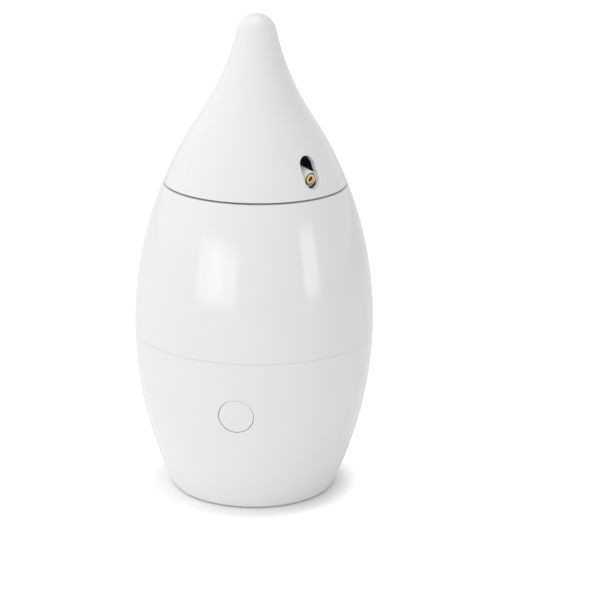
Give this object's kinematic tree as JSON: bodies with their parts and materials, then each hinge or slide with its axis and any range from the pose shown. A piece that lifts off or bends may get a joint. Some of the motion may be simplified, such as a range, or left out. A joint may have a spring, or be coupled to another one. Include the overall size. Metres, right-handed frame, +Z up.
{
  "type": "automatic laser toy",
  "caption": "Free-standing battery laser toy for cats with a turning drop-shaped head, tilting laser barrels, a push button and a battery door.",
  "frame": {"origin": "middle of the plane the rubber feet stand on, on the turning axis", "axes": "+Z up along the turning axis, the push button faces -Y, +X to the right seen from the button"},
  "size_m": [0.1145, 0.1144, 0.23],
  "materials": {
    "white_case": "glossy white moulded ABS",
    "rubber": "matt black rubber",
    "grey_frame": "matt light grey moulded ABS",
    "acetal": "satin natural acetal",
    "bronze": "oiled sintered bronze",
    "brass": "satin turned brass",
    "steel": "zinc-plated steel",
    "motor_can": "drawn steel can",
    "copper": "gold-flashed copper",
    "board": "green soldermask",
    "black_plastic": "matt black plastic",
    "capacitor": "glossy shrink sleeve",
    "resistor": "glazed body",
    "cell": "glossy printed sleeve without print",
    "spring_steel": "bright nickel plate",
    "red_wire": "satin PVC",
    "blue_wire": "satin PVC",
    "black_wire": "satin PVC",
    "lens": "glossy red optic"
  },
  "bodies": {
    "base": {"base_cup": "white_case", "body_shell": "white_case", "rubber_feet": "rubber", "gear_frame": "grey_frame", "top_deck": "grey_frame", "spindle_bushes": "bronze", "rod_bush": "bronze", "spin_motor": "motor_can", "tilt_motor": "motor_can", "motor_strap": "steel", "brush_block": "black_plastic", "brush_fingers": "copper", "gear_axles": "steel", "circuit_board": "board", "control_chip": "black_plastic", "capacitor": "capacitor", "board_resistors": "resistor", "push_switch": "black_plastic", "battery_tower": "grey_frame", "top_contacts": "spring_steel", "aa_cell_1": "cell", "aa_cell_2": "cell", "aa_cell_3": "cell", "case_screws": "steel", "frame_screws": "steel", "chassis_screws": "steel", "strap_screws": "steel", "battery_leads": "red_wire", "motor_leads": "blue_wire", "brush_leads": "black_wire"},
    "head": {"head_shell": "white_case", "turntable": "grey_frame", "spindle": "acetal", "spindle_gear": "acetal", "spindle_clip": "steel", "slip_ring_board": "board", "slip_ring_tracks": "copper", "head_screws": "steel", "flange_screws": "steel", "pivot_pins": "steel"},
    "tilt_rod": {"tilt_rod": "acetal"},
    "front_laser": {"laser_cradle_front": "white_case", "laser_barrel_front": "brass", "laser_lens_front": "lens", "laser_board_front": "board"},
    "rear_laser": {"laser_cradle_rear": "white_case", "laser_barrel_rear": "brass", "laser_lens_rear": "lens", "laser_board_rear": "board"},
    "tilt_drive": {"tilt_pinion": "acetal", "tilt_motor_shaft": "steel"},
    "first_gear": {"first_gear": "acetal"},
    "second_gear": {"second_gear": "acetal"},
    "spin_drive": {"motor_pinion": "brass", "spin_motor_shaft": "steel"},
    "button": {"button_cap": "white_case", "switch_plunger": "acetal"},
    "battery_door": {"battery_door": "white_case", "door_screw": "steel", "door_springs": "spring_steel"}
  },
  "joints": [
    {"name": "head_spin", "type": "hinge", "parent": "base", "child": "head", "pos_m": [0, 0, 0.15], "axis": [0, 0, 1], "continuous": true},
    {"name": "second_gear_spin", "type": "hinge", "parent": "base", "child": "second_gear", "pos_m": [0.0256, 0, 0.14], "axis": [0, 0, 1], "continuous": true},
    {"name": "first_gear_spin", "type": "hinge", "parent": "base", "child": "first_gear", "pos_m": [0.01839, 0.01866, 0.138], "axis": [0, 0, 1], "continuous": true},
    {"name": "spin_motor_turn", "type": "hinge", "parent": "base", "child": "spin_drive", "pos_m": [-0.002, 0.02793, 0.134], "axis": [0, 0, 1], "continuous": true},
    {"name": "tilt_slide", "type": "slide", "parent": "base", "child": "tilt_rod", "axis": [0, 0, 1], "range_m": [-0.00333, 0]},
    {"name": "tilt_motor_turn", "type": "hinge", "parent": "base", "child": "tilt_drive", "pos_m": [0.009, 0, 0.114], "axis": [0, 1, 0], "range_deg": [-34.12, 0]},
    {"name": "front_laser_tilt", "type": "hinge", "parent": "head", "child": "front_laser", "pos_m": [0.01521, -0.01299, 0.16196], "axis": [0.6494, 0.7604, 0], "range_deg": [-14, 0]},
    {"name": "rear_laser_tilt", "type": "hinge", "parent": "head", "child": "rear_laser", "pos_m": [-0.01521, 0.01299, 0.16196], "axis": [-0.6494, -0.7604, 0], "range_deg": [-14, 0]},
    {"name": "button_press", "type": "slide", "parent": "base", "child": "button", "axis": [0, 1, 0], "range_m": [0, 0.0012], "stiffness_N_per_m": 350},
    {"name": "door_removal", "type": "slide", "parent": "base", "child": "battery_door", "axis": [0, 0, -1], "range_m": [0, 0.02]}
  ],
  "couplings": [
    {"joint": "second_gear_spin", "follows": "head_spin", "ratio": -3.5714},
    {"joint": "first_gear_spin", "follows": "head_spin", "ratio": 9.1837},
    {"joint": "spin_motor_turn", "follows": "head_spin", "ratio": -27.551},
    {"joint": "tilt_motor_turn", "follows": "tilt_slide", "rad_per_m": 178.57},
    {"joint": "front_laser_tilt", "follows": "tilt_slide", "rad_per_m": 73.275},
    {"joint": "rear_laser_tilt", "follows": "tilt_slide", "rad_per_m": 73.275}
  ]
}
